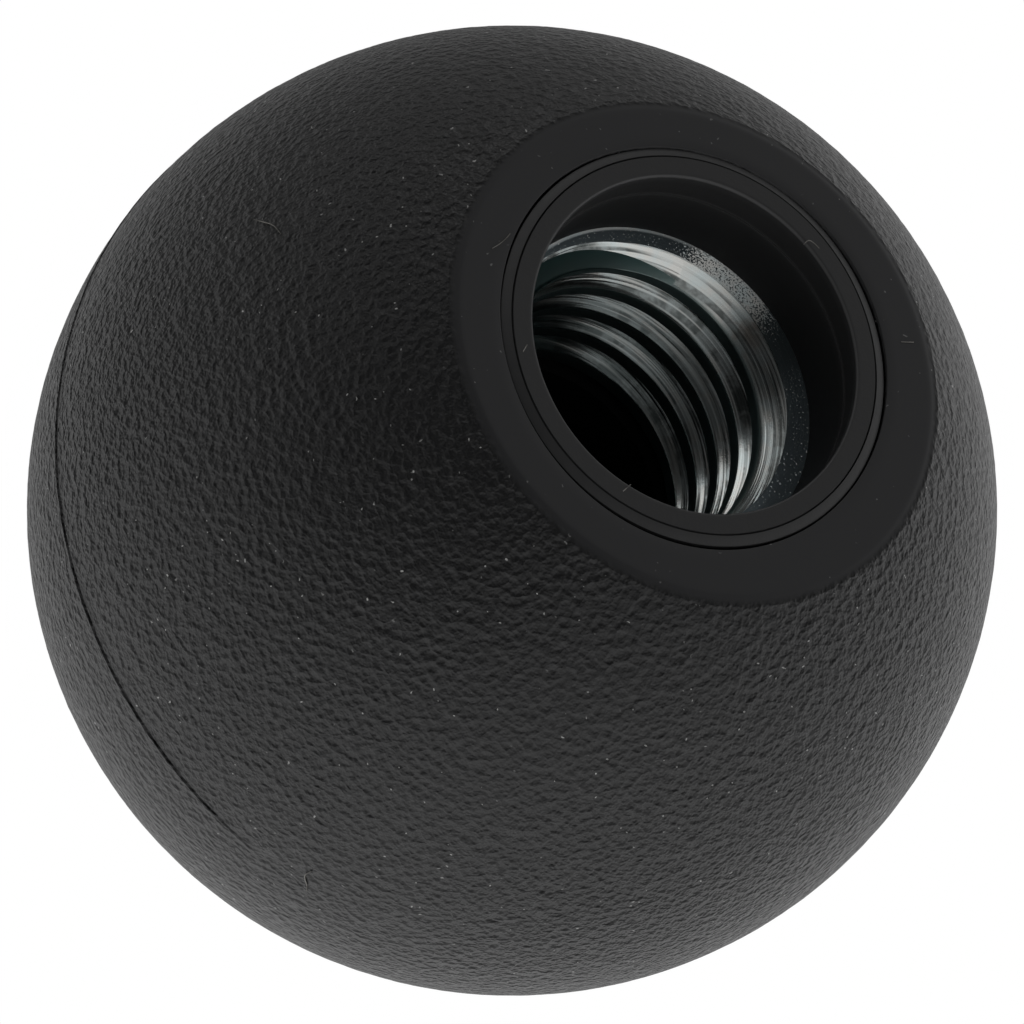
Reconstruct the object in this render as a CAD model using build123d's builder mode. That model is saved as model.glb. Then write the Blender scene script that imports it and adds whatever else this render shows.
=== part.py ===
"""Ball knob, 35 mm, with a soft grained cover, a hard plastic core and an M12 threaded bush.

Millimetres. +Z is up and the bore's axis is Z. The knob stands on the rim round its mouth, as it
sits on a lever, and the origin is the centre of that rim, where the lever's shoulder meets it.
"""

import os
from math import sqrt

from build123d import *

os.makedirs("parts", exist_ok=True)

# The ball, which its cover forms
BALL_DIAMETER = 35.0
FLAT_CUT_DEPTH = 2.5
FLAT_EDGE_RADIUS = 0.3
HOLE_EDGE_RADIUS = 0.12

# The core's neck and its rim, which stands just proud of the cover's flat
RIM_PROUD = 0.1
NECK_DIAMETER = 14.5
NECK_GAP = 0.1
NECK_GAP_DEPTH = 1.5
RIM_CHAMFER_WIDTH = 0.45
RIM_CHAMFER_HEIGHT = 0.35

# The core's mouth and the bore that guides the lever's shank
MOUTH_DIAMETER = 12.4
MOUTH_DEPTH = 1.1
MOUTH_EDGE_RADIUS = 0.15
SHANK_BORE_DIAMETER = 12.2
BUSH_DEPTH = 3.7

# The core's body inside the cover
COVER_THICKNESS = 4.0
SHOULDER_DIAMETER = 19.6
SHOULDER_DEPTH = 2.5
SHOULDER_EDGE_RADIUS = 0.6
KEY_GROOVE_WIDTH = 4.0
KEY_GROOVE_DEPTH = 1.2
KEY_WIDTH = 3.0
KEY_COUNT = 4

# The threaded bush, M12 x 1.75, tapped right through
THREAD_MINOR_DIAMETER = 10.106
THREAD_MOUTH_CHAMFER = 0.1
BUSH_LENGTH = 9.5
BUSH_ACROSS_FLATS = 15.0
BUSH_CORNER_DIAMETER = 16.4
BUSH_END_CHAMFER = 0.5
BUSH_GROOVE_DIAMETER = 14.0
BUSH_GROOVE_WIDTH = 2.5

# The blind end of the core's hole, past the bush
END_HOLE_DIAMETER = 9.8
END_HOLE_DEPTH = 4.0
END_HOLE_EDGE_RADIUS = 0.8

# Places and radii that follow from these
ball_radius = BALL_DIAMETER / 2
ball_centre = RIM_PROUD - FLAT_CUT_DEPTH + ball_radius
flat_radius = sqrt(ball_radius**2 - (ball_radius - FLAT_CUT_DEPTH) ** 2)
neck_radius = NECK_DIAMETER / 2
shoulder_radius = SHOULDER_DIAMETER / 2
core_radius = ball_radius - COVER_THICKNESS
core_crown = ball_centre + core_radius
shoulder_top = ball_centre - sqrt(core_radius**2 - shoulder_radius**2)
bush_radius = BUSH_CORNER_DIAMETER / 2
bush_top = BUSH_DEPTH + BUSH_LENGTH
bush_middle = BUSH_DEPTH + BUSH_LENGTH / 2
hole_end = bush_top + END_HOLE_DEPTH
past_the_edge = 1.0

# The bush before it is drilled: hexagon bar with its corners turned off and a turned groove. In
# the plastic, the flats stop it turning and the groove stops it pulling out.
with BuildPart() as bush_blank:
    with BuildSketch(Plane.XY.offset(BUSH_DEPTH)):
        RegularPolygon(BUSH_ACROSS_FLATS / 2, 6, major_radius=False)
    extrude(amount=BUSH_LENGTH)
    with BuildSketch(Plane.XZ):
        with BuildLine():
            Polyline(
                (0, BUSH_DEPTH),
                (bush_radius - BUSH_END_CHAMFER, BUSH_DEPTH),
                (bush_radius, BUSH_DEPTH + BUSH_END_CHAMFER),
                (bush_radius, bush_top - BUSH_END_CHAMFER),
                (bush_radius - BUSH_END_CHAMFER, bush_top),
                (0, bush_top),
                close=True,
            )
        make_face()
        groove_depth = bush_radius + past_the_edge - BUSH_GROOVE_DIAMETER / 2
        with Locations((BUSH_GROOVE_DIAMETER / 2 + groove_depth / 2, bush_middle)):
            Rectangle(groove_depth, BUSH_GROOVE_WIDTH, mode=Mode.SUBTRACT)
    revolve(axis=Axis.Z, mode=Mode.INTERSECT)

# The bush as it is fitted. The crests of its thread are the wall of this bore.
with BuildPart() as threaded_bush:
    add(bush_blank.part)
    with Locations((0, 0, bush_middle)):
        Hole(THREAD_MINOR_DIAMETER / 2)
    bore_mouths = (
        threaded_bush.edges()
        .filter_by(GeomType.CIRCLE)
        .filter_by(lambda edge: abs(edge.radius - THREAD_MINOR_DIAMETER / 2) < 0.01)
    )
    chamfer(bore_mouths, THREAD_MOUTH_CHAMFER)
threaded_bush.part.label = "threaded_bush"

# The slots round the core's middle. The cover fills them, so that it can't slide off, and the
# keys left standing between them stop it turning.
with BuildPart() as key_slots:
    with BuildSketch(Plane.XZ):
        with Locations((core_radius, ball_centre)):
            Rectangle(2 * KEY_GROOVE_DEPTH, KEY_GROOVE_WIDTH)
    revolve(axis=Axis.Z)
    with BuildSketch(Plane.XY.offset(ball_centre - KEY_GROOVE_WIDTH / 2)):
        with PolarLocations(core_radius, KEY_COUNT):
            Rectangle(4 * KEY_GROOVE_DEPTH, KEY_WIDTH)
    extrude(amount=KEY_GROOVE_WIDTH, mode=Mode.SUBTRACT)

# The outside of the core: the neck and its chamfered rim, the shoulder and the ball-shaped body.
with BuildPart() as core_blank:
    with BuildSketch(Plane.XZ):
        with BuildLine():
            Polyline(
                (0, 0),
                (neck_radius - RIM_CHAMFER_WIDTH, 0),
                (neck_radius, RIM_CHAMFER_HEIGHT),
                (neck_radius, SHOULDER_DEPTH),
            )
            FilletPolyline(
                (neck_radius, SHOULDER_DEPTH),
                (shoulder_radius, SHOULDER_DEPTH),
                (shoulder_radius, shoulder_top),
                radius=SHOULDER_EDGE_RADIUS,
            )
            ThreePointArc(
                (shoulder_radius, shoulder_top),
                (core_radius, ball_centre),
                (0, core_crown),
            )
            Line((0, core_crown), (0, 0))
        make_face()
    revolve(axis=Axis.Z)
    add(key_slots.part, mode=Mode.SUBTRACT)

# The core as it is moulded round the bush, with its mouth, the shank's bore and the blind end.
with BuildPart() as core:
    add(core_blank.part)
    with BuildSketch(Plane.XZ) as hollow:
        with BuildLine():
            Polyline(
                (0, -past_the_edge),
                (MOUTH_DIAMETER / 2 + MOUTH_EDGE_RADIUS, -past_the_edge),
                (MOUTH_DIAMETER / 2 + MOUTH_EDGE_RADIUS, 0),
            )
            RadiusArc(
                (MOUTH_DIAMETER / 2 + MOUTH_EDGE_RADIUS, 0),
                (MOUTH_DIAMETER / 2, MOUTH_EDGE_RADIUS),
                MOUTH_EDGE_RADIUS,
            )
            Polyline(
                (MOUTH_DIAMETER / 2, MOUTH_EDGE_RADIUS),
                (MOUTH_DIAMETER / 2, MOUTH_DEPTH),
                (SHANK_BORE_DIAMETER / 2, MOUTH_DEPTH),
                (SHANK_BORE_DIAMETER / 2, BUSH_DEPTH),
                (END_HOLE_DIAMETER / 2, BUSH_DEPTH),
            )
            FilletPolyline(
                (END_HOLE_DIAMETER / 2, BUSH_DEPTH),
                (END_HOLE_DIAMETER / 2, hole_end),
                (0, hole_end),
                radius=END_HOLE_EDGE_RADIUS,
            )
            Line((0, hole_end), (0, -past_the_edge))
        make_face()
    revolve(axis=Axis.Z, mode=Mode.SUBTRACT)
    add(bush_blank.part, mode=Mode.SUBTRACT)
core.part.label = "core"

# The cover is moulded over the core. Its flat is cut square to the bore, and a thin gap runs
# round the neck, down to where the cover has hold of it.
with BuildPart() as ball_cover:
    with BuildSketch(Plane.XZ) as cover_half:
        with BuildLine():
            Line((0, RIM_PROUD), (flat_radius, RIM_PROUD))
            ThreePointArc(
                (flat_radius, RIM_PROUD),
                (ball_radius, ball_centre),
                (0, ball_centre + ball_radius),
            )
            Line((0, ball_centre + ball_radius), (0, RIM_PROUD))
        make_face()
        flat_edge = cover_half.vertices().sort_by(Axis.X)[-1]
        fillet(flat_edge, FLAT_EDGE_RADIUS)
    revolve(axis=Axis.Z)
    add(core_blank.part, mode=Mode.SUBTRACT)
    with BuildSketch(Plane.XZ):
        gap_radius = neck_radius + NECK_GAP
        with BuildLine():
            Polyline(
                (0, RIM_PROUD),
                (gap_radius + HOLE_EDGE_RADIUS, RIM_PROUD),
            )
            RadiusArc(
                (gap_radius + HOLE_EDGE_RADIUS, RIM_PROUD),
                (gap_radius, RIM_PROUD + HOLE_EDGE_RADIUS),
                HOLE_EDGE_RADIUS,
            )
            Polyline(
                (gap_radius, RIM_PROUD + HOLE_EDGE_RADIUS),
                (gap_radius, RIM_PROUD + NECK_GAP_DEPTH),
                (0, RIM_PROUD + NECK_GAP_DEPTH),
                (0, RIM_PROUD),
            )
        make_face()
    revolve(axis=Axis.Z, mode=Mode.SUBTRACT)
ball_cover.part.label = "ball_cover"

for piece in (ball_cover, core, threaded_bush):
    export_step(piece.part, f"parts/{piece.part.label}.step")
    print(piece.part.label, "solids", len(piece.part.solids()), "volume", round(piece.part.volume, 1))
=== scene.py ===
"""Ball knob: its grained cover, hard core and threaded bush, and the studio they are shown in."""

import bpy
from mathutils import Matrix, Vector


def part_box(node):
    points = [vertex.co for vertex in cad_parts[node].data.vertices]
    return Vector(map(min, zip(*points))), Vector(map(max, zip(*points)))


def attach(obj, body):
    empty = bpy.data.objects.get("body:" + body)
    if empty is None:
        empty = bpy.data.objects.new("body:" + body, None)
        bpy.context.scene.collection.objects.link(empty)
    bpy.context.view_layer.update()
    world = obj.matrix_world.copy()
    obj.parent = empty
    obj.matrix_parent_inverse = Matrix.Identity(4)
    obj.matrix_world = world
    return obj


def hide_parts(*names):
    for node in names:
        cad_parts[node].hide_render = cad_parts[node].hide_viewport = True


bl_info = {
    "name": "Ball Knob",
    "version": (1, 0, 0),
    "blender": (4, 5, 0),
    "location": "View3D > Sidebar > Ball Knob",
    "description": "Builds a soft-grained ball knob on a threaded bush, and a studio to show it in",
    "category": "Add Mesh",
}

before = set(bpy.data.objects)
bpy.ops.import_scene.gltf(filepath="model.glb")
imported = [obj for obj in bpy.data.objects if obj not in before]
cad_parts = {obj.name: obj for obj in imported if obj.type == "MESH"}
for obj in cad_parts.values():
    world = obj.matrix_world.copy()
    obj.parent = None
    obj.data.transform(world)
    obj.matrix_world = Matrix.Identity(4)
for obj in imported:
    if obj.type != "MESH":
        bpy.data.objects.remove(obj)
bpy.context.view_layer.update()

from math import acos, atan2, cos, hypot, pi, radians, sin, sqrt, tan, tau

import bmesh
import bpy
from bpy.props import FloatProperty, FloatVectorProperty, PointerProperty
from bpy.types import Operator, Panel, PropertyGroup
from mathutils import Matrix, Vector, noise

MM = 0.001
TINY = 1e-7
BODY = "root"

# Sizes and places that come from the solids
cover_low, cover_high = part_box("ball_cover")
core_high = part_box("core")[1]
bush_low, bush_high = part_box("threaded_bush")
FLAT_HEIGHT = cover_low.z
BALL_RADIUS = (cover_high.x - cover_low.x) / 2
BALL_CENTRE = cover_high.z - BALL_RADIUS
CORE_RADIUS = core_high.z - BALL_CENTRE
BUSH_FACE = bush_low.z
BUSH_END = bush_high.z
BUSH_MIDDLE = (BUSH_FACE + BUSH_END) / 2
BUSH_CORNERS = (bush_high.x - bush_low.x) / 2
BUSH_FLATS = (bush_high.y - bush_low.y) / 2


def length(name, default, description):
    """A size in metres that a user can change."""
    return FloatProperty(
        name=name,
        description=description,
        default=default,
        min=0.0,
        precision=5,
        unit="LENGTH",
        subtype="DISTANCE",
    )


def turn(name, default, description):
    """An angle that a user can change, given here in degrees."""
    return FloatProperty(
        name=name,
        description=description,
        default=radians(default),
        unit="ROTATION",
        subtype="ANGLE",
    )


def amount(name, default, description):
    """A plain number that a user can change."""
    return FloatProperty(name=name, description=description, default=default)


def colour(name, default, description):
    """A colour that a user can change."""
    return FloatVectorProperty(
        name=name,
        description=description,
        default=default,
        min=0.0,
        max=1.0,
        subtype="COLOR",
    )


class CoverSettings(PropertyGroup):
    """The soft ball moulded over the core."""

    flat_edge: length("Flat's edge", 0.3 * MM, "Radius where the flat meets the ball")
    hole_radius: length("Hole", 7.35 * MM, "Radius of the hole in the flat, round the core's neck")
    hole_edge: length("Hole's edge", 0.04 * MM, "Radius on the hole's edge")
    gap_depth: length("Gap depth", 1.5 * MM, "How far the gap round the neck goes down")
    hole_lobes: length("Hole's lobes", 0.045 * MM, "How far its edge goes in and out, three times")
    hole_shift: length("Hole's shift", 0.04 * MM, "How far the hole lies off the rim, towards -X")
    lobe_turn: turn("Lobe direction", 24, "Where round the bore the first lobe of the hole is")
    seam_width: length("Seam", 0.14 * MM, "Width of the mould seam round the equator")
    seam_depth: length("Seam depth", 0.09 * MM, "Depth of the mould seam")
    seam_lip: length("Seam's lip", 0.035 * MM, "How far the crown half stands out at the seam")
    seam_start: turn("Seam start", 168, "Direction round the bore where the seam begins to show")
    seam_fade_in: turn("Seam's fade-in", 14.3, "Angle over which the seam comes in")
    seam_bare: turn("Seam's bare stretch", 80.2, "Angle before its start over which no seam shows")
    seam_fade_out: turn("Seam's fade-out", 28.6, "Angle over which the seam fades out")
    roughness: length("Surface roughness", 0.012 * MM, "How far the ball's surface goes in and out")
    grain_depth: length("Grain depth", 0.17 * MM, "Height of the moulded grain")
    grain_scale: amount("Grain scale", 3.3, "How many dents of the grain a millimetre holds")
    fleck_scale: amount("Fleck scale", 2.1, "How many flecks of dust a millimetre could hold")
    colour: colour("Colour", (0.0105, 0.0107, 0.0115), "Colour of the soft plastic")
    # The flat is painted paler than the ball's own plastic: painted light
    flat_painted_light_colour: colour("Flat", (0.031, 0.0313, 0.033), "Colour of its smooth flat")
    dust: colour("Dust", (0.5, 0.5, 0.49), "Colour of the dust on it")


class CoreSettings(PropertyGroup):
    """The hard plastic inside, whose rim and bore show."""

    neck_radius: length("Neck", 7.28 * MM, "Radius of the neck that stands in the cover's hole")
    shoulder_radius: length("Shoulder", 9.8 * MM, "Radius of the shoulder under the cover's flat")
    shoulder_height: length("Shoulder height", 2.5 * MM, "Where the shoulder begins")
    shoulder_edge: length("Shoulder's edge", 0.6 * MM, "Radius on the shoulder's edge")
    key_height: length("Key height", 4.0 * MM, "Height of the slots that the cover fills")
    key_depth: length("Key depth", 1.2 * MM, "Depth of those slots")
    key_width: length("Key width", 3.0 * MM, "Width of the keys left between the slots")
    rim_radius: length("Rim", 6.88 * MM, "Radius of the flat top of the rim")
    groove_width: length("Rim groove", 0.035 * MM, "Half the width of the groove round its top")
    groove_depth: length("Rim groove's depth", 0.12 * MM, "Depth of that groove")
    rim_drop: length("Rim chamfer", 0.15 * MM, "How far the rim slopes down to the neck's edge")
    mouth_radius: length("Mouth", 6.15 * MM, "Radius of the mouth")
    mouth_edge: length("Mouth's edge", 0.12 * MM, "Radius on the mouth's edge")
    mouth_depth: length("Mouth depth", 1.1 * MM, "Depth of the step in the bore")
    bore_radius: length("Bore", 6.1 * MM, "Radius of the bore in front of the bush")
    end_radius: length("End hole", 4.9 * MM, "Radius of the blind hole past the bush")
    end_depth: length("End depth", 4.0 * MM, "Depth of the blind hole past the bush")
    end_edge: length("End's edge", 0.8 * MM, "Radius at the bottom of the blind hole")
    run_out: length("Run-out", 0.205 * MM, "How far the rim lies off the bore's axis, towards +X")
    ovality: length("Ovality", 0.14 * MM, "How far the rim's radius goes in and out, twice round")
    oval_turn: turn("Oval direction", -10.5, "Where round the bore the rim is widest")
    true_depth: length("True depth", 1.6 * MM, "Depth at which the bore runs true again")
    # The bore's darker colour is painted shade, and the rim's paler colour painted light
    colour: colour("Colour", (0.0140, 0.0141, 0.0146), "Colour of the hard plastic in the bore")
    rim_painted_light_colour: colour("Rim", (0.034, 0.0342, 0.0350), "Colour of its rim, greyer with wear")
    # Paler edges are painted highlights on the mouth's edge and the ledge in the bore
    edge_highlight_colour: colour("Edges", (0.085, 0.085, 0.087), "Colour of its edges, rubbed paler still")


class BushSettings(PropertyGroup):
    """The zinc-plated steel bush, tapped right through."""

    pitch: length("Pitch", 1.75 * MM, "Pitch of the thread")
    major_radius: length("Major radius", 6.0 * MM, "Radius at the thread's roots")
    minor_radius: length("Minor radius", 5.053 * MM, "Radius at the thread's crests")
    crest_edge: length("Crest's edge", 0.035 * MM, "Radius on the edges of the crests")
    crest_spread: length("Crest's spread", 0.17 * MM, "How much wider the crests are than new ones")
    first_crest: length("First crest", 1.58 * MM, "Depth of the first crest below the face, at +Y")
    mouth_radius: length("Mouth", 5.36 * MM, "Radius at which the tapped hole opens in the face")
    feather_end: turn("Feather end", 112, "Where the thin start of the thread broke off")
    feather_fade: turn("Feather's fade", 15, "Angle over which the thread grows to full form")
    worn_share: amount("First crest's wear", 0.12, "How far it is worn all round, from 0 to 1")
    worn_end: turn("Wear's end", 395, "How far along the thread that wear goes")
    worn_fade: turn("Wear's fade", 90, "Angle over which it fades out")
    break_width: length("First crest's break", 0.56 * MM, "How wide it is broken away at its worst")
    break_turn: turn("Break direction", -95, "Direction round the bore where that break is widest")
    lean: turn("Lean", 1.95, "Angle by which the tapped hole leans off the bore's axis")
    lean_turn: turn("Lean direction", 73, "Direction that its deep end leans to")
    lean_depth: length("Lean's depth", 4.3 * MM, "Depth below the face where it crosses the axis")
    end_chamfer: length("End chamfer", 0.5 * MM, "Chamfer on the corners at both ends")
    groove_radius: length("Groove", 7.0 * MM, "Radius of the turned groove that holds the bush in")
    groove_width: length("Groove width", 2.5 * MM, "Width of that groove")
    colour: colour("Colour", (0.30, 0.42, 0.42), "Colour of the zinc plate on the crests")
    cut_colour: colour("Cuts", (0.07, 0.15, 0.145), "Colour where a crest is broken or worn")
    face_colour: colour("Face", (0.27, 0.33, 0.36), "Colour of the zinc plate on the end face")
    flank_colour: colour("Flanks", (0.90, 0.99, 0.99), "Colour of the zinc plate on the flanks")
    warm_colour: colour("Warm flanks", (0.99, 0.99, 0.95), "Their colour in warmer blotches")
    stain_colour: colour("Stain", (0.30, 0.19, 0.13), "Colour of the brown stain on a crest")
    # This colour is also the painted shade deeper in the bore
    scored_and_shade_colour: colour("Thin plate", (0.08, 0.10, 0.10), "Colour where it is thin or scored")


class LintSettings(PropertyGroup):
    """The fibres of lint on the plastic."""

    thickness: length("Thickness", 0.036 * MM, "How thick a fibre is")
    colour: colour("Colour", (0.30, 0.29, 0.27), "Colour of the fibres")


class StudioSettings(PropertyGroup):
    """The camera and the light."""

    distance: length("Distance", 175 * MM, "Distance from the camera to the ball's centre")
    lens: amount("Lens", 169.7, "Focal length in millimetres")
    sensor: amount("Sensor", 36.0, "Width of the sensor in millimetres")
    bore_tilt: turn("Bore tilt", 33.9, "Angle between the line of sight and the bore's axis")
    bore_turn: turn("Bore turn", 40.8, "Direction of the mouth in the picture, up from the right")
    raise_by: amount("Shift", -0.0014, "Vertical shift of the picture")


# Modelling helpers


def begin(name, add_primitive, **place):
    """Adds a primitive as an object of its own, with its place in its mesh, open for editing."""
    bpy.ops.object.select_all(action="DESELECT")
    add_primitive(**place)
    piece = bpy.context.object
    piece.name = name
    piece.data.name = name
    bpy.ops.object.transform_apply(location=True, rotation=True, scale=True)
    bpy.ops.object.mode_set(mode="EDIT")
    return piece


def pick(kind, test):
    """Selects the vertices, edges or faces of the open mesh that pass a test of their middle."""
    data = bpy.context.object.data
    bpy.ops.mesh.select_mode(type=kind)
    bpy.ops.mesh.select_all(action="DESELECT")
    mesh = bmesh.from_edit_mesh(data)
    if kind == "VERT":
        found = [v for v in mesh.verts if test(v.co)]
    elif kind == "EDGE":
        found = [e for e in mesh.edges if test((e.verts[0].co + e.verts[1].co) / 2)]
    else:
        found = [f for f in mesh.faces if test(f.calc_center_median())]
    for item in found:
        item.select_set(True)
    bmesh.update_edit_mesh(data)


def on_edge(radius, corners):
    """The settings of a circle that stands on edge round the ball's centre."""
    place = {"location": (0, 0, BALL_CENTRE), "rotation": (pi / 2, 0, 0)}
    return {"vertices": corners, "radius": radius, **place}


def drop(test):
    """Deletes the vertices that pass a test of their place."""
    pick("VERT", test)
    bpy.ops.mesh.delete(type="VERT")


def nearest(radius, height):
    """The place of the open outline's vertex that is nearest to a radius and height."""
    mesh = bmesh.from_edit_mesh(bpy.context.object.data)
    places = [v.co.copy() for v in mesh.verts]
    return min(places, key=lambda co: hypot(co.x - radius, co.z - height))


def draw_on(start, *points):
    """Draws an outline on from the vertex nearest to start. Each point is a radius and a height."""
    here = nearest(*start)
    pick("VERT", lambda co: (co - here).length < TINY)
    for radius, height in points:
        there = Vector((radius, 0, height))
        bpy.ops.mesh.extrude_vertices_move(TRANSFORM_OT_translate={"value": there - here})
        here = there


def join(*places):
    """Joins the vertices nearest to two places, given as radius and height, by an edge."""
    ends = [nearest(*place) for place in places]
    pick("VERT", lambda co: min((co - end).length for end in ends) < TINY)
    bpy.ops.mesh.edge_face_add()


def round_corner(radius, height, reach, segments):
    """Rounds the outline's corner at that place, from reach before it to reach after it."""
    pick("VERT", lambda co: hypot(co.x - radius, co.z - height) < TINY)
    bpy.ops.mesh.bevel(offset=reach, segments=segments, affect="VERTICES", profile=0.5)


def close_up():
    """Merges doubles in the open mesh and turns its faces outwards."""
    bpy.ops.mesh.select_mode(type="VERT")
    bpy.ops.mesh.select_all(action="SELECT")
    bpy.ops.mesh.remove_doubles(threshold=TINY)
    bpy.ops.mesh.normals_make_consistent(inside=False)


def lathe(steps):
    """Spins the open outline once round the bore's axis."""
    bpy.ops.mesh.select_all(action="SELECT")
    bpy.ops.mesh.spin(steps=steps, angle=tau, center=(0, 0, 0), axis=(0, 0, 1))
    close_up()


def slice_at(point, normal, **what):
    """Cuts the whole open mesh by a plane."""
    bpy.ops.mesh.select_all(action="SELECT")
    bpy.ops.mesh.bisect(plane_co=point, plane_no=normal, threshold=TINY, **what)


def select_only(*pieces):
    """Selects these objects and nothing else, with the first of them active."""
    if bpy.context.mode != "OBJECT":
        bpy.ops.object.mode_set(mode="OBJECT")
    bpy.ops.object.select_all(action="DESELECT")
    for piece in pieces:
        piece.select_set(True)
    bpy.context.view_layer.objects.active = pieces[0]


def subtract(piece, tool):
    """Cuts one object's shape out of a piece."""
    select_only(piece)
    bpy.ops.object.modifier_add(type="BOOLEAN")
    cut = piece.modifiers[-1]
    cut.operation = "DIFFERENCE"
    cut.solver = "EXACT"
    cut.object = tool
    bpy.ops.object.modifier_apply(modifier=cut.name)
    bpy.data.objects.remove(tool)


def hand_over(piece, material, node, crease=30):
    """Shades a finished piece, gives it its material and ties it to the solid it stands for."""
    select_only(piece)
    bpy.ops.object.shade_smooth_by_angle(angle=radians(crease))
    piece.data.materials.clear()
    piece.data.materials.append(material)
    if node:
        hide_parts(node)
    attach(piece, BODY)


def clamp(value):
    """Holds a share between 0 and 1."""
    return min(max(value, 0.0), 1.0)


def angle_round(x, y):
    """The angle round the bore, from +Y towards -X, as it grows down into the thread."""
    return atan2(-x, y)


def push_out(vertex, share):
    """Moves a vertex away from the bore's axis, by a share of its radius."""
    vertex.co.x *= 1 + share
    vertex.co.y *= 1 + share


def roughen(piece, settings):
    """Moves the ball's surface in and out a little, so that its outline isn't perfectly smooth."""
    centre = Vector((0, 0, BALL_CENTRE))
    skin = BALL_RADIUS - 0.02 * MM
    lowest = FLAT_HEIGHT + settings.flat_edge
    coarse = 2.1 / MM
    fine = 4.3 / MM
    for vertex in piece.data.vertices:
        spoke = vertex.co - centre
        if spoke.length > skin and vertex.co.z > lowest:
            wave = noise.noise(spoke * coarse) + 0.6 * noise.noise(spoke * fine)
            vertex.co += spoke.normalized() * settings.roughness * wave
    piece.data.update()


def cut_seam(piece, settings):
    """Sinks the line where the mould's halves met, and lets it fade out on one side."""
    half_way_out = (CORE_RADIUS + BALL_RADIUS) / 2
    for vertex in piece.data.vertices:
        x, y, z = vertex.co
        radius = hypot(x, y)
        above = (z - BALL_CENTRE) / settings.seam_width
        if radius < half_way_out or abs(above) > 1.01:
            continue
        angle = (angle_round(x, y) - settings.seam_start) % tau
        fade = clamp(angle / settings.seam_fade_in)
        fade *= clamp((tau - angle - settings.seam_bare) / settings.seam_fade_out)
        on_the_line = abs(above) < 0.25
        move = -settings.seam_depth if on_the_line else settings.seam_lip * (above > 0)
        push_out(vertex, fade * move / radius)
    piece.data.update()


def warp_rim(piece, settings, lobes=0.0, lobe_turn=0.0, lowest=0.0, outermost=1.0, shift=0.0):
    """Moves the rim off the axis and out of round, less and less until the bore runs true."""
    mesh = piece.data
    spread = settings.true_depth - lowest
    for vertex in mesh.vertices:
        x, y, z = vertex.co
        radius = hypot(x, y)
        if z > settings.true_depth or radius > outermost or radius < TINY:
            continue
        angle = angle_round(x, y)
        share = clamp((settings.true_depth - z) / spread)
        fade = clamp((outermost - radius) / (outermost - settings.neck_radius - 0.3 * MM))
        grow = settings.ovality * cos(2 * (angle - settings.oval_turn))
        grow += lobes * cos(3 * (angle - lobe_turn))
        wider = 1 + share * fade * grow / radius
        vertex.co.x = x * wider + share * fade * (settings.run_out - shift)
        vertex.co.y = y * wider
    mesh.update()


# Shader maths as Python expressions


class Wire:
    """A shader socket that Python's own signs work on."""

    def __init__(self, shader, socket):
        self.shader = shader
        self.socket = socket

    def __add__(self, other):
        return self.shader.maths("ADD", self, other)

    def __sub__(self, other):
        return self.shader.maths("SUBTRACT", self, other)

    def __mul__(self, other):
        return self.shader.maths("MULTIPLY", self, other)

    def __truediv__(self, other):
        return self.shader.maths("DIVIDE", self, other)

    def __pow__(self, other):
        return self.shader.maths("POWER", self, other)

    def __rsub__(self, other):
        return self.shader.maths("SUBTRACT", other, self)

    def __rtruediv__(self, other):
        return self.shader.maths("DIVIDE", other, self)

    __radd__ = __add__
    __rmul__ = __mul__


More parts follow.
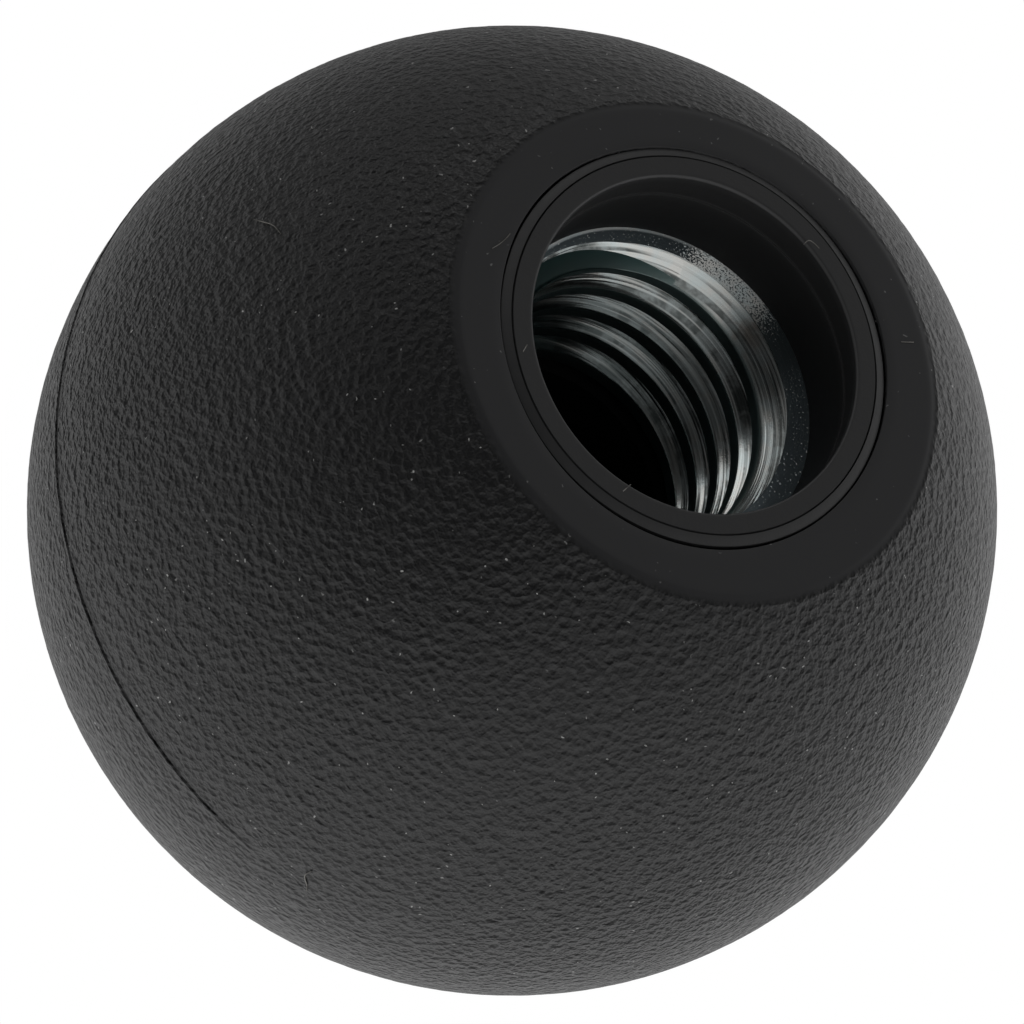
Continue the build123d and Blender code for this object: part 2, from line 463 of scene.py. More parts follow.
class Shader:
    """The nodes of one material or world."""

    def __init__(self, owner):
        owner.use_nodes = True
        self.tree = owner.node_tree
        self.tree.nodes.clear()

    def node(self, kind, values=None, output=0, **settings):
        """Adds a node: its settings, then its sockets' values or links. It gives one output."""
        made = self.tree.nodes.new("ShaderNode" + kind)
        for name, value in settings.items():
            setattr(made, name, value)
        for key, value in (values or {}).items():
            if isinstance(value, Wire):
                self.tree.links.new(value.socket, made.inputs[key])
            else:
                made.inputs[key].default_value = value
        return Wire(self, made.outputs[output])

    def end(self, kind, surface):
        """Adds the output node of a material or world."""
        made = self.tree.nodes.new("ShaderNode" + kind)
        self.tree.links.new(surface.socket, made.inputs["Surface"])

    def maths(self, operation, *values):
        """One Math node."""
        return self.node("Math", dict(enumerate(values)), operation=operation)

    def vector(self, operation, *values, output=0):
        """One Vector Math node."""
        return self.node("VectorMath", dict(enumerate(values)), output, operation=operation)

    def scaled(self, vector, factor):
        """A vector times a number."""
        return self.node("VectorMath", {0: vector, "Scale": factor}, operation="SCALE")

    def step(self, value, low, high):
        """0 below low, 1 above high and a smooth ramp between them."""
        sockets = {"Value": value, "From Min": low, "From Max": high}
        return self.node("MapRange", sockets, interpolation_type="SMOOTHSTEP")

    def mix(self, factor, first, second):
        """Goes from the first colour to the second with a factor."""
        sockets = {"Factor": factor, 6: rgba(first), 7: rgba(second)}
        return self.node("Mix", sockets, 2, data_type="RGBA")

    def axes(self, vector):
        """The three parts of a vector."""
        split = self.node("SeparateXYZ", {0: vector}).socket.node
        return [Wire(self, part) for part in split.outputs]

    def noise(self, vector, scale, detail=2.0, roughness=0.5, fourth=None):
        """Noise from 0 to 1 over a place, and over a fourth measure if it is given."""
        sockets = {"Vector": vector, "Scale": scale, "Detail": detail, "Roughness": roughness}
        if fourth is None:
            return self.node("TexNoise", sockets)
        return self.node("TexNoise", {**sockets, "W": fourth}, noise_dimensions="4D")

    def stirred(self, place, scale, reach):
        """A place moved about by noise, at most by reach each way."""
        swirl = self.node("TexNoise", {"Vector": place, "Scale": scale, "Detail": 0.0}, output=1)
        centred = self.vector("SUBTRACT", swirl, (0.5, 0.5, 0.5))
        return self.vector("ADD", place, self.scaled(centred, 2 * reach))

    def spot(self, place, middle, inner, outer):
        """1 near a place in millimetres, 0 away from it."""
        away = self.vector("DISTANCE", place, middle, output=1)
        return 1 - self.step(away, inner, outer)

    def radius(self, x, y):
        """How far a place is from the bore's axis."""
        return self.maths("SQRT", x * x + y * y)

    def slope(self):
        """How far the surface faces up or down, from 0 to 1."""
        return self.maths("ABSOLUTE", self.axes(self.node("TexCoord", output=1))[2])

    def bump(self, height, distance):
        """A height from 0 to 1, over a distance in metres, as a normal."""
        return self.node("Bump", {"Height": height, "Distance": distance, "Strength": 1.0})


def rgba(value):
    """A colour with its alpha, or a link as it is."""
    return value if isinstance(value, Wire) else (*value, 1.0)


def dimmed(tint, share):
    """A colour made darker."""
    return tuple(share * part for part in tint)


def finish_with(shader, **sockets):
    """Ends a material with a Principled shader."""
    named = {key.replace("_", " "): value for key, value in sockets.items()}
    shader.end("OutputMaterial", shader.node("BsdfPrincipled", named))


def new_material(name):
    """A material and its shader, with the place on the object in millimetres."""
    material = bpy.data.materials.new(name)
    shader = Shader(material)
    place = shader.scaled(shader.node("TexCoord", output=3), 1 / MM)
    return material, shader, place


def soft_plastic(settings):
    """Matt black moulding with a fine eroded grain on the ball, and a smooth satin flat."""
    material, shader, place = new_material("soft_black_grain")
    x, y, z = shader.axes(place)
    flat = FLAT_HEIGHT / MM
    ball = shader.step(z, flat + 0.02, flat + 0.16)

    # The grain has hills, ridges between its cells and a fine part, and is strongest to the sides
    stirred = shader.stirred(place, 2.4, 0.09)
    hills = shader.noise(place, settings.grain_scale)
    cells = shader.node("TexVoronoi", {"Vector": stirred, "Scale": settings.grain_scale})
    ridges = shader.step(cells, 0.0, 1.0)
    fine = shader.noise(place, 9.0, 0.0)
    aside = shader.step(shader.maths("ABSOLUTE", x), 5.0, 14.0)
    crown = shader.step(z, 3.0, 14.0)
    grain = hills + ridges * 0.4 + fine * (0.14 + 0.2 * aside)
    depth = (0.66 + 0.7 * crown) * (0.85 + 0.65 * aside) * ball
    normal = shader.bump(grain * depth, settings.grain_depth)

    # Dust lies in specks, more of them in some places, and less on the flat
    spread = {"Vector": shader.stirred(place, 5.0, 0.11), "Scale": settings.fleck_scale}
    specks = 1 - shader.step(shader.node("TexVoronoi", spread), 0.05, 0.10)
    patches = shader.step(shader.noise(place, 0.9, 0.0), 0.36, 0.58)
    dusty = specks * patches * (0.35 + 0.65 * ball)

    # Painted shade: the plastic is darker in the grain's pits, away from the ridges
    black = shader.mix(ridges, dimmed(settings.colour, 0.75), settings.colour)
    # The smooth flat takes its paler colour, painted light
    black = shader.mix(ball, settings.flat_painted_light_colour, black)
    base = shader.mix(dusty, black, settings.dust)
    rough = 0.36 + 0.08 * (1 - ridges) * ball
    finish_with(shader, Base_Color=base, Roughness=rough, Normal=normal, IOR=1.5)
    return material


def hard_plastic(settings):
    """Satin black moulding, a little smoother than the cover."""
    material, shader, place = new_material("hard_black_satin")
    x, y, z = shader.axes(place)
    mouth_edge = settings.mouth_edge / MM
    ledge_height = settings.mouth_depth / MM
    mottle = shader.noise(place, 2.2, 3.0, 0.6)
    streaks = shader.noise(place, 9.0, 2.0, 0.6)
    normal = shader.bump(mottle * 0.6 + streaks * 0.25, 0.015 * MM)

    # Painted light and shade: paler on the rim and darker down the bore
    inside = shader.step(z, mouth_edge, mouth_edge + 0.3) * 0.7
    inside = inside + 0.3 * shader.step(z, ledge_height, ledge_height + 0.5)
    black = shader.mix(inside, settings.rim_painted_light_colour, settings.colour)

    # Painted highlights: paler on the mouth's edge and on the ledge in the bore
    slope = shader.slope()
    sloping = shader.step(slope, 0.2, 0.5) * (1 - shader.step(slope, 0.85, 0.98))
    radius = shader.radius(x, y)
    at_mouth = (1 - shader.step(radius, 6.5, 6.6)) * (1 - shader.step(z, 0.2, 0.3))
    off_ledge = shader.maths("ABSOLUTE", z - ledge_height)
    on_ledge = 1 - shader.step(off_ledge, 0.0, 0.12)
    painted_highlight = shader.maths("MAXIMUM", sloping * at_mouth * 0.7, on_ledge * 0.35)
    black = shader.mix(painted_highlight, black, settings.edge_highlight_colour)
    rough = 0.38 + 0.12 * mottle + 0.3 * inside
    finish_with(shader, Base_Color=black, Roughness=rough, Normal=normal, IOR=1.5)
    return material


def pale_lint(settings):
    """Dull fibres, paler in some places than in others."""
    material, shader, place = new_material("pale_lint")
    blotches = shader.step(shader.noise(place, 2.0), 0.35, 0.65)
    tint = shader.mix(blotches, dimmed(settings.colour, 0.4), settings.colour)
    finish_with(shader, Base_Color=tint, Roughness=0.8)
    return material


# Marks on the bush: the middle of each in millimetres, and how far it is full and fades out
PITS = ((1.0, 5.65, 3.7), 0.9, 2.8)
BROWN_STAIN = ((-0.7, 5.4, 4.5), 0.2, 1.1)
# A dark spot on the first turn, painted shade
PAINTED_SHADE_SPOT = ((-1.7, 5.3, 4.9), 0.9, 2.4)


def zinc_plate(settings):
    """Blue zinc over turned and tapped steel, with tool marks that run round the bore."""
    material, shader, place = new_material("zinc_plated_steel")
    x, y, z = shader.axes(place)
    radius = shader.radius(x, y)
    slope = shader.slope()
    end_face = BUSH_FACE / MM
    face = 1 - shader.step(z, end_face + 0.01, end_face + 0.03)
    flank = shader.step(slope, 0.62, 0.82) * (1 - face)

    # Tool marks follow the helix on the thread and run in circles on the face
    climb = shader.maths("ARCTAN2", 0 - x, y) * (settings.pitch / MM / tau) * (1 - face)
    across = radius + (z - climb) * 0.6
    along = shader.node("CombineXYZ", {0: x * 0.22, 1: y * 0.22, 2: z * 0.3})
    coarse = shader.noise(along, 0.8, 1.0, 0.5, fourth=across * 5.0)
    fine = shader.noise(along, 0.9, 1.0, 0.6, fourth=across * 18.0)
    scores = shader.noise(along, 0.6, 1.0, 0.9, fourth=across * 15.0)
    grit = shader.noise(place, 13.0, 2.0, 0.7)
    blotches = shader.noise(place, 1.3, 3.0, 0.6)
    marks = coarse * 0.018 + fine * 0.018 + grit * 0.002
    normal = shader.bump(marks * (0.35 + 0.65 * flank), 1.0 * MM)

    # A burr round the mouth, a turned outer edge and pits, which lean the face's normal inwards
    shift = (BUSH_FACE - BUSH_MIDDLE) / MM * tan(settings.lean)
    off_x = x + shift * sin(settings.lean_turn)
    off_y = y - shift * cos(settings.lean_turn)
    from_edge = shader.radius(off_x, off_y) - settings.mouth_radius / MM
    this_side = shader.step(x, -0.4, 1.2) * face
    burr = (1 - shader.step(from_edge, 0.03, 0.08)) * this_side
    outer = shader.step(radius, 5.96, 6.04) * this_side * 0.6
    pitted = shader.step(grit - 0.5 + 0.24 * shader.spot(place, *PITS), 0.12, 0.22) * face
    tilt = shader.maths("MAXIMUM", shader.maths("MAXIMUM", burr, outer), pitted) * 0.6
    inwards = shader.node("CombineXYZ", {0: x / radius * tilt, 1: y / radius * tilt, 2: 0.0})
    normal = shader.vector("NORMALIZE", shader.vector("SUBTRACT", normal, inwards))

    # Plate on the crests, cuts, face and flanks, then the stain, the scores, and painted shade
    # deeper in the bore and in a spot on the first turn
    bright = shader.step(blotches, 0.35, 0.65)
    bright = shader.mix(bright, settings.flank_colour, settings.warm_colour)
    tint = shader.mix(shader.step(slope, 0.15, 0.4), settings.colour, settings.cut_colour)
    tint = shader.mix(face, tint, settings.face_colour)
    # The burr, outer edge and pits also take the flanks' bright colour: painted glints besides
    # their leaned normals
    tint = shader.mix(shader.maths("MAXIMUM", flank, tilt * 1.6), tint, bright)
    stain = shader.spot(place, *BROWN_STAIN) * shader.step(blotches, 0.3, 0.6)
    tint = shader.mix(stain * 0.75, tint, settings.stain_colour)
    # Painted shade: darker deeper in the bore on this side, and in a spot on the first turn
    thin = shader.step(z, 4.6, 8.3) * shader.step(x, -4.5, 0.5)
    thin = shader.maths("MAXIMUM", thin, shader.spot(place, *PAINTED_SHADE_SPOT))
    scored = shader.step(scores, 0.46, 0.56) * flank
    scored = scored * (0.5 + 0.4 * shader.step(blotches, 0.4, 0.6))
    tint = shader.mix(scored + 0.7 * thin * (1 - scored), tint, settings.scored_and_shade_colour)
    rough = 0.10 + 0.10 * fine + 0.2 * (1 - flank)
    metal = 0.72 + 0.28 * flank
    finish_with(shader, Base_Color=tint, Metallic=metal, Roughness=rough, Normal=normal)
    return material


# Pieces


class KNOB_OT_cover(Operator):
    """Turns the soft cover: the ball, its flat and the gap round the neck"""

    bl_idname = "knob.cover"
    bl_label = "Grained Cover"

    ring_corners = 460
    steps = 400
    inner_corners = 60

    # Rings of points between which the flat and the gap's wall can be moved, and how far out
    flat_rings = (8.5 * MM, 8.2 * MM, 7.8 * MM)
    gap_rings = (0.5 * MM, 1.0 * MM)
    warp_end = 8.6 * MM

    def execute(self, context):
        sizes = context.scene.knob_cover
        core = context.scene.knob_core
        flat_radius = sqrt(BALL_RADIUS**2 - (BALL_CENTRE - FLAT_HEIGHT) ** 2)
        edge_reach = sizes.flat_edge * tan(acos(flat_radius / BALL_RADIUS) / 2)
        gap_floor = FLAT_HEIGHT + sizes.gap_depth
        shoulder_top = BALL_CENTRE - sqrt(CORE_RADIUS**2 - core.shoulder_radius**2)

        outside = on_edge(BALL_RADIUS, self.ring_corners)
        cover = begin("ball_cover_soft", bpy.ops.mesh.primitive_circle_add, **outside)
        drop(lambda co: co.x < -TINY or co.z < FLAT_HEIGHT + 0.1 * MM)
        draw_on(
            (flat_radius, FLAT_HEIGHT),
            (flat_radius, FLAT_HEIGHT),
            (flat_radius - sizes.flat_edge, FLAT_HEIGHT),
            *((radius, FLAT_HEIGHT) for radius in self.flat_rings),
            (sizes.hole_radius, FLAT_HEIGHT),
            *((sizes.hole_radius, FLAT_HEIGHT + depth) for depth in self.gap_rings),
            (sizes.hole_radius, gap_floor),
            (core.neck_radius, gap_floor),
            (core.neck_radius, core.shoulder_height),
            (core.shoulder_radius, core.shoulder_height),
        )
        round_corner(flat_radius, FLAT_HEIGHT, edge_reach, 4)
        round_corner(sizes.hole_radius, FLAT_HEIGHT, sizes.hole_edge, 4)
        bpy.ops.mesh.primitive_circle_add(**on_edge(CORE_RADIUS, self.inner_corners))
        past_the_core = CORE_RADIUS + 0.5 * MM
        drop(
            lambda co: hypot(co.x, co.z - BALL_CENTRE) < past_the_core
            and (co.x < -TINY or co.z < shoulder_top - TINY)
        )
        join((core.shoulder_radius, core.shoulder_height), (core.shoulder_radius, shoulder_top))
        for reach in (-1, -0.5, 0.5, 1):
            slice_at((0, 0, BALL_CENTRE + reach * sizes.seam_width), (0, 0, 1))
        lathe(self.steps)
        bpy.ops.object.mode_set(mode="OBJECT")
        roughen(cover, sizes)
        cut_seam(cover, sizes)
        warp_rim(
            cover, core, lobes=sizes.hole_lobes, lobe_turn=sizes.lobe_turn,
            lowest=FLAT_HEIGHT, outermost=self.warp_end, shift=sizes.hole_shift,
        )
        hand_over(cover, soft_plastic(sizes), "ball_cover")
        return {"FINISHED"}


def bush_blank(settings):
    """Hexagon bar with its corners turned off and a groove turned round its middle."""
    blank = begin(
        "bush_blank", bpy.ops.mesh.primitive_cylinder_add, vertices=144,
        radius=BUSH_CORNERS, depth=BUSH_END - BUSH_FACE, location=(0, 0, BUSH_MIDDLE),
    )
    half_groove = settings.groove_width / 2
    pick("EDGE", lambda co: min(abs(co.z - BUSH_FACE), abs(co.z - BUSH_END)) < TINY)
    bpy.ops.mesh.bevel(offset=settings.end_chamfer, segments=1, affect="EDGES")
    for height in (BUSH_MIDDLE - half_groove, BUSH_MIDDLE + half_groove):
        slice_at((0, 0, height), (0, 0, 1))
    pick(
        "FACE",
        lambda co: abs(co.z - BUSH_MIDDLE) < half_groove and hypot(co.x, co.y) > BUSH_FLATS,
    )
    bpy.ops.mesh.extrude_region_move(TRANSFORM_OT_translate={"value": (0, 0, 0)})
    share = settings.groove_radius / BUSH_CORNERS
    bpy.ops.transform.resize(value=(share, share, 1), center_override=(0, 0, BUSH_MIDDLE))
    for flat in range(6):
        outwards = Vector((cos(pi / 6 + flat * pi / 3), sin(pi / 6 + flat * pi / 3), 0))
        slice_at(outwards * BUSH_FLATS, outwards, use_fill=True, clear_outer=True)
    close_up()
    bpy.ops.object.mode_set(mode="OBJECT")
    return blank


class KNOB_OT_core(Operator):
    """Turns the hard core: rim, neck, shoulder and keyed body, and the bore with its blind end"""

    bl_idname = "knob.core"
    bl_label = "Hard Core"

    ring_corners = 200
    steps = 320
    into_the_bush = 1.3 * MM

    # Small edges, and rings of points that keep the rim's shading even
    neck_edge = 0.03 * MM
    groove_lip = 0.02 * MM
    neck_ring = 1.0 * MM
    rim_ring = 0.08 * MM
    mouth_ring = 0.18 * MM
    bore_ring = 0.6 * MM

    def execute(self, context):
        sizes = context.scene.knob_core
        shoulder_top = BALL_CENTRE - sqrt(CORE_RADIUS**2 - sizes.shoulder_radius**2)
        hole_end = BUSH_END + sizes.end_depth
        in_the_bush = BUSH_FACE + self.into_the_bush

        outside = on_edge(CORE_RADIUS, self.ring_corners)
        core = begin("core_hard", bpy.ops.mesh.primitive_circle_add, **outside)
        drop(lambda co: co.x < -TINY or co.z < shoulder_top + 0.1 * MM)
        draw_on(
            (sizes.shoulder_radius, shoulder_top),
            (sizes.shoulder_radius, shoulder_top),
            (sizes.shoulder_radius, sizes.shoulder_height),
            (sizes.neck_radius, sizes.shoulder_height),
            (sizes.neck_radius, sizes.true_depth),
            (sizes.neck_radius, self.neck_ring),
            (sizes.neck_radius, sizes.rim_drop),
            (sizes.rim_radius + 2 * sizes.groove_width, self.groove_lip),
            (sizes.rim_radius + sizes.groove_width, sizes.groove_depth),
            (sizes.rim_radius, 0),
            (sizes.rim_radius - self.rim_ring, 0),
            (sizes.mouth_radius + self.mouth_ring, 0),
            (sizes.mouth_radius, 0),
            (sizes.mouth_radius, self.mouth_ring),
            (sizes.mouth_radius, self.bore_ring),
            (sizes.mouth_radius, sizes.mouth_depth),
            (sizes.bore_radius, sizes.mouth_depth),
            (sizes.bore_radius, sizes.true_depth),
            (sizes.bore_radius, in_the_bush),
            (sizes.end_radius, in_the_bush),
            (sizes.end_radius, hole_end),
            (0, hole_end),
        )
        round_corner(sizes.shoulder_radius, sizes.shoulder_height, sizes.shoulder_edge, 4)
        round_corner(sizes.neck_radius, sizes.rim_drop, self.neck_edge, 2)
        round_corner(sizes.mouth_radius, 0, sizes.mouth_edge, 5)
        round_corner(sizes.end_radius, hole_end, sizes.end_edge, 6)
        lathe(self.steps)
        self.cut_keys(sizes)
        bpy.ops.object.mode_set(mode="OBJECT")
        warp_rim(core, sizes)
        subtract(core, bush_blank(context.scene.knob_bush))
        hand_over(core, hard_plastic(sizes), "core")
        return {"FINISHED"}

    def cut_keys(self, sizes):
        """Sinks the slots round the core's middle and leaves the keys standing."""
        half_height = sizes.key_height / 2
        half_width = sizes.key_width / 2
        for height in (BALL_CENTRE - half_height, BALL_CENTRE + half_height):
            slice_at((0, 0, height), (0, 0, 1))
        near_the_skin = CORE_RADIUS - 0.5 * MM
        pick(
            "FACE",
            lambda co: abs(co.z - BALL_CENTRE) < half_height
            and hypot(co.x, co.y) > near_the_skin
            and min(abs(co.x), abs(co.y)) > half_width,
        )
        bpy.ops.mesh.extrude_region_move(TRANSFORM_OT_translate={"value": (0, 0, 0)})
        share = (CORE_RADIUS - sizes.key_depth) / CORE_RADIUS
        bpy.ops.transform.resize(value=(share, share, 1), center_override=(0, 0, BALL_CENTRE))


class KNOB_OT_bush(Operator):
    """Makes the bush from hexagon bar and taps it right through"""

    bl_idname = "knob.bush"
    bl_label = "Threaded Bush"

    turns = 10
    turns_outside = 3
    steps = 180
    past_the_ends = 0.4 * MM
    flank_angle = radians(30)

    # How the first crest is worn: a knee just under its edge, and how wear widens and deepens
    knee_reach = 0.07 * MM
    feather_lift = 0.95
    break_shape = 1.6
    crest_share = 1.9

    def execute(self, context):
        sizes = context.scene.knob_bush
        bush = bush_blank(sizes)
        subtract(bush, self.tap(sizes))
        bush.name = "threaded_bush_zinc"
        hand_over(bush, zinc_plate(sizes), "threaded_bush", crease=18)
        return {"FINISHED"}

    def tap(self, sizes):
        """The thread's own form as a solid: one pitch of its outline, screwed up the bore."""
        pitch = sizes.pitch
        half_crest = pitch / 8
        root = pitch / 8
        flank = (pitch - 2 * half_crest - root) / 2
        low = BUSH_FACE + sizes.first_crest - pitch / 4 - self.turns_outside * pitch
        outline = (
            (sizes.minor_radius, low + half_crest + sizes.crest_spread),
            (sizes.major_radius, low + half_crest + flank),
            (sizes.major_radius, low + half_crest + flank + root),
            (sizes.minor_radius, low + pitch - half_crest),
        )
        tap = begin(
            "tap", bpy.ops.mesh.primitive_plane_add, size=sizes.minor_radius,
            location=(sizes.minor_radius / 2, 0, low), rotation=(pi / 2, 0, 0),
        )
        corner = Vector((sizes.minor_radius, 0, low - sizes.minor_radius / 2))
        drop(lambda co: (co - corner).length > TINY)
        bpy.ops.mesh.select_all(action="SELECT")
        bpy.ops.transform.translate(value=(0, 0, sizes.minor_radius / 2))
        knee = sizes.minor_radius + self.knee_reach
        on_flank = (knee, low + pitch - half_crest - self.knee_reach * tan(self.flank_angle))
        last = (sizes.minor_radius, low + pitch)
        draw_on((sizes.minor_radius, low), *outline[:3], on_flank, outline[3], last)
        for radius, height in outline:
            round_corner(radius, height, sizes.crest_edge, 2)
        bpy.ops.object.mode_set(mode="OBJECT")
        bpy.ops.object.modifier_add(type="SCREW")
        screw = tap.modifiers[-1]
        screw.axis = "Z"
        screw.angle = tau
        screw.screw_offset = pitch
        screw.iterations = self.turns
        screw.steps = self.steps
        screw.render_steps = self.steps
        bpy.ops.object.modifier_apply(modifier=screw.name)
        self.wear_first_crest(tap, sizes, half_crest, knee)
        self.lean(tap, sizes)
        bpy.ops.object.mode_set(mode="EDIT")
        close_up()
        mouth_end = (0, 0, BUSH_FACE - self.past_the_ends)
        blind_end = (0, 0, BUSH_END + self.past_the_ends)
        slice_at(mouth_end, (0, 0, 1), use_fill=True, clear_inner=True)
        slice_at(blind_end, (0, 0, 1), use_fill=True, clear_outer=True)
        close_up()
        bpy.ops.object.mode_set(mode="OBJECT")
        return tap

    def wear_first_crest(self, tap, sizes, half_crest, knee):
        """Slopes the first crest's mouth side, a little all round and widely where it broke."""
        for vertex in tap.data.vertices:
            x, y, z = vertex.co
            angle = angle_round(x, y)
            radius = hypot(x, y)

            # How far along the thread the vertex is, and how far below the crest of that turn
            below = z - (BUSH_FACE + sizes.first_crest + sizes.pitch * angle / tau)
            turn_number = round(below / sizes.pitch)
            below -= turn_number * sizes.pitch
            travel = angle + turn_number * tau

            # Before the feather's end there is no thread, only the plain mouth
            if travel < sizes.feather_end - tau and radius < sizes.mouth_radius:
                share = clamp((sizes.feather_end - tau - travel) / sizes.feather_fade)
                push_out(vertex, share * (sizes.mouth_radius / radius - 1))
                if z > BUSH_FACE:
                    vertex.co.z = z - self.feather_lift * share * (z - BUSH_FACE)
                continue
            share = sizes.worn_share * clamp((sizes.worn_end - travel) / sizes.worn_fade)
            if abs(travel - sizes.break_turn) < pi / 2:
                share = max(share, cos(travel - sizes.break_turn) ** self.break_shape)
            if travel < sizes.break_turn - pi / 2:
                continue
            on_crest_edge = abs(below + half_crest) < 0.06 * MM and radius < knee - 0.02 * MM
            on_knee = abs(radius - knee) < 0.01 * MM and -2 * half_crest < below < 0
            if on_crest_edge:
                vertex.co.z += self.crest_share * half_crest * share
            elif on_knee:
                wider = sizes.break_width * share
                push_out(vertex, wider / radius)
                vertex.co.z -= wider * tan(self.flank_angle)
        tap.data.update()

    def lean(self, tap, sizes):
        """Leans the tapped hole a little off the bore's axis."""
        middle = BUSH_FACE + sizes.lean_depth
        for vertex in tap.data.vertices:
            shift = (vertex.co.z - middle) * tan(sizes.lean)
            vertex.co.x -= shift * sin(sizes.lean_turn)
            vertex.co.y += shift * cos(sizes.lean_turn)
        tap.data.update()


# Fibres of lint, each with what it lies on and its points. A point is an angle round the bore in
# degrees, then a height in millimetres on the ball or a radius in millimetres on the flat and rim.
FIBRES = (
    ("ball", (-116.6, 5.6), (-117.4, 5.1), (-118.0, 4.8), (-119.6, 4.5)),
    ("ball", (162.5, 15.1), (162.8, 14.8), (163.7, 14.5), (164.2, 14.2), (163.9, 13.8)),
    ("flat", (-112.3, 7.6), (-115.6, 7.7), (-118.6, 8.0)),
    ("flat", (33.0, 8.0), (33.2, 8.5)),
    ("rim", (163.2, 6.6), (162.1, 6.2)),
    ("rim", (-3.4, 6.2), (-3.7, 6.4), (-2.6, 6.6), (0.7, 6.6)),
    ("rim", (-146.7, 6.8), (-144.6, 6.6)),
)


def on_surface(where, angle, measure, lift):
    """A point of a fibre that lies on the ball or on its flat, or is half sunk into the rim."""
    radius = height = measure * MM
    if where == "ball":
        radius = sqrt((BALL_RADIUS + lift) ** 2 - (height - BALL_CENTRE) ** 2)
    elif where == "flat":
        height = FLAT_HEIGHT - lift
    else:
        height = 0.0
    return Vector((-radius * sin(radians(angle)), radius * cos(radians(angle)), height))


class KNOB_OT_lint(Operator):
    """Lays the fibres of lint that cling to the plastic"""

    bl_idname = "knob.lint"
    bl_label = "Lint"

    def execute(self, context):
        sizes = context.scene.knob_lint
        fibres = [self.lay(sizes, where, points) for where, *points in FIBRES]
        select_only(*fibres)
        bpy.ops.object.join()
        lint = bpy.context.object
        lint.name = "lint_fibres"
        lint.data.name = "lint_fibres"
        bpy.ops.object.mode_set(mode="EDIT")
        close_up()
        hand_over(lint, pale_lint(sizes), None, crease=60)
        return {"FINISHED"}

    def lay(self, sizes, where, points):
        """Draws one fibre through its points and gives it its thickness."""
        places = [on_surface(where, *point, sizes.thickness / 2) for point in points]
        fibre = begin("fibre", bpy.ops.mesh.primitive_plane_add, size=2 * MM, location=places[0])
        corner = places[0] + Vector((MM, MM, 0))
        drop(lambda co: (co - corner).length > TINY)
        bpy.ops.mesh.select_all(action="SELECT")
        bpy.ops.transform.translate(value=places[0] - corner)
        for here, there in zip(places, places[1:]):
            bpy.ops.mesh.extrude_vertices_move(TRANSFORM_OT_translate={"value": there - here})
        bpy.ops.object.mode_set(mode="OBJECT")
        bpy.ops.object.convert(target="CURVE")
        fibre = bpy.context.object
        bpy.ops.object.mode_set(mode="EDIT")
        bpy.ops.curve.select_all(action="SELECT")
        bpy.ops.curve.spline_type_set(type="NURBS")
        bpy.ops.object.mode_set(mode="OBJECT")
        fibre.data.splines[0].use_endpoint_u = True
        fibre.data.splines[0].order_u = 3
        fibre.data.bevel_depth = sizes.thickness / 2
        fibre.data.use_fill_caps = True
        bpy.ops.object.convert(target="MESH")
        return bpy.context.object


# Studio

# Each soft light: how far right, up and back towards the camera it is, and its strength
SOFTNESS = 4
SOFT_LIGHTS = {
    "left": (-1, 0, 0.25, 0.30),
    "bottom": (0, -1, 0.25, 0.35),
    "top right": (1, 1, 0, 0.31),
    "top left": (-1, 1, 0, 0.26),
    "bottom right": (1, -1, 0, 0.58),
    "bottom left": (-1, -1, 0, 0.68),
    "front right": (1, 0, 1, 0.03),
    "front bottom": (0, -1, 1, 0.37),
    "back": (0, 0, -1, 0.12),
    "back right": (1, 0, -1, 0.71),
    "back left": (-1, 0, -1, 0.50),
    "back top": (0, 1, -1, 0.08),
    "back bottom": (0, -1, -1, 0.57),
}

# Each strip of light: the way to its middle, the pole of the great circle that it lies along, how
# near its middle it begins and is full, how thin it is and its strength
STRIP_LIGHTS = {
    "overhead": ((-0.03, 0.98, 0.17), (-0.972, 0.026, -0.232), 0.74, 0.79, 30, 0.58),
    "right side": ((0.87, -0.25, 0.42), (0.205, 0.965, 0.165), 0.35, 0.85, 20, 0.25),
}


def camera_axes(studio):
    """The picture's right, its up and the way back to the camera, in the knob's frame."""
    back = Vector((0, -sin(studio.bore_tilt), -cos(studio.bore_tilt)))
    mouth = (Vector((0, 0, -1)) - back * cos(studio.bore_tilt)).normalized()
    across = back.cross(mouth)
    right = mouth * cos(studio.bore_turn) - across * sin(studio.bore_turn)
    up = mouth * sin(studio.bore_turn) + across * cos(studio.bore_turn)
    return right, up, back


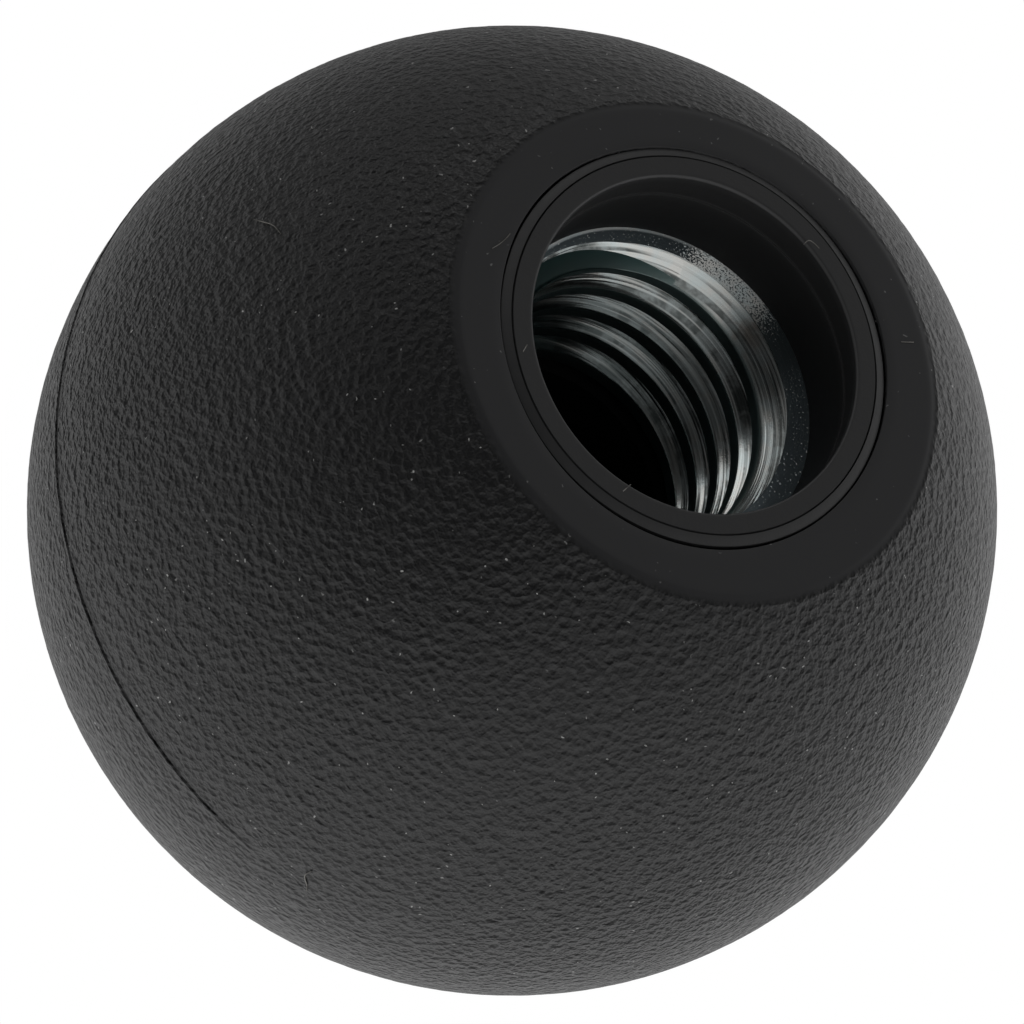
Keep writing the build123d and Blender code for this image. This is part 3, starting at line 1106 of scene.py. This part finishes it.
class KNOB_OT_studio(Operator):
    """Places the camera, the pale floor and the soft light"""

    bl_idname = "knob.studio"
    bl_label = "Studio"

    floor_radius = 2.0
    floor_gap = 0.02 * MM
    haze_start = 0.05
    haze_full = 0.3

    def execute(self, context):
        studio = context.scene.knob_studio
        right, up, back = camera_axes(studio)
        self.place_camera(context, studio, right, up, back)
        self.light_world(context, right, up, back)
        self.lay_floor()
        context.scene.view_settings.view_transform = "Standard"
        return {"FINISHED"}

    def place_camera(self, context, studio, right, up, back):
        """Looks up at the mouth side, as the photograph does."""
        turned = Matrix((right, up, back)).transposed().to_4x4()
        place = Vector((0, 0, BALL_CENTRE)) + back * studio.distance
        bpy.ops.object.camera_add(location=place, rotation=turned.to_euler())
        camera = context.object
        camera.name = "photo_camera"
        camera.data.lens = studio.lens
        camera.data.sensor_width = studio.sensor
        camera.data.shift_y = studio.raise_by
        camera.data.clip_start = 0.01
        context.scene.camera = camera

    def light_world(self, context, right, up, back):
        """White where the camera sees it. As light, it is brightest below and behind."""
        world = bpy.data.worlds.new("studio_light")
        context.scene.world = world
        shader = Shader(world)
        way = shader.node("TexCoord")

        def along(across, above, towards):
            """How far a ray of light comes from that side of the picture."""
            side = (right * across + up * above + back * towards).normalized()
            return shader.vector("DOT_PRODUCT", way, tuple(side), output=1)

        light = 0.0
        for across, above, towards, strength in SOFT_LIGHTS.values():
            facing = shader.maths("MAXIMUM", along(across, above, towards), 0.0)
            light = facing**SOFTNESS * strength + light
        for middle, pole, starts, full, thinness, strength in STRIP_LIGHTS.values():
            off = along(*pole)
            beam = (1 - off * off) ** thinness * shader.step(along(*middle), starts, full)
            light = beam * strength + light
        seen = shader.node("LightPath", output=0)
        strength = seen + light * (1 - seen)
        glow = shader.node("Background", {"Color": (1, 1, 1, 1), "Strength": strength})
        shader.end("OutputWorld", glow)

    def lay_floor(self):
        """A pale floor that shows only from above, so that the mouth side can be seen and lit."""
        floor = begin(
            "floor", bpy.ops.mesh.primitive_circle_add, vertices=96, radius=self.floor_radius,
            fill_type="NGON", location=(0, 0, -self.floor_gap),
        )
        bpy.ops.object.mode_set(mode="OBJECT")
        material = bpy.data.materials.new("pale_floor")
        shader = Shader(material)
        x, y, z = shader.axes(shader.node("TexCoord", output=3))
        radius = shader.radius(x, y)
        far = shader.step(radius, self.haze_start, self.haze_full)
        paint = shader.node("BsdfDiffuse", {"Color": (0.86, 0.86, 0.86, 1)})
        haze = shader.node("Emission", {"Color": (1, 1, 1, 1)})
        clear = shader.node("BsdfTransparent")
        seen = shader.node("LightPath", output=0)
        under = shader.node("NewGeometry", output=6)
        top = shader.node("MixShader", {0: far, 1: paint, 2: haze})
        surface = shader.node("MixShader", {0: seen * (1 - under), 1: clear, 2: top})
        shader.end("OutputMaterial", surface)
        floor.data.materials.append(material)


class KNOB_PT_builder(Panel):
    """Lists what makes up the knob"""

    bl_label = "Ball Knob"
    bl_idname = "KNOB_PT_builder"
    bl_space_type = "VIEW_3D"
    bl_region_type = "UI"
    bl_category = "Ball Knob"

    def draw(self, context):
        for group_name in GROUPS:
            group = getattr(context.scene, group_name)
            box = self.layout.box()
            for name in group.__annotations__:
                box.prop(group, name)
        for step in STEPS:
            self.layout.operator(step.bl_idname)


STEPS = (KNOB_OT_cover, KNOB_OT_core, KNOB_OT_bush, KNOB_OT_lint, KNOB_OT_studio)
GROUPS = {
    "knob_cover": CoverSettings,
    "knob_core": CoreSettings,
    "knob_bush": BushSettings,
    "knob_lint": LintSettings,
    "knob_studio": StudioSettings,
}


def register():
    """Registers the settings, the operators and the panel."""
    for name, group in GROUPS.items():
        bpy.utils.register_class(group)
        setattr(bpy.types.Scene, name, PointerProperty(type=group))
    for item in (*STEPS, KNOB_PT_builder):
        bpy.utils.register_class(item)


def unregister():
    """Takes them away again."""
    for item in (KNOB_PT_builder, *reversed(STEPS)):
        bpy.utils.unregister_class(item)
    for name, group in GROUPS.items():
        delattr(bpy.types.Scene, name)
        bpy.utils.unregister_class(group)


def main():
    """Builds everything in order."""
    register()
    bpy.ops.knob.cover()
    bpy.ops.knob.core()
    bpy.ops.knob.bush()
    bpy.ops.knob.lint()
    bpy.ops.knob.studio()


if __name__ == "__main__":
    main()
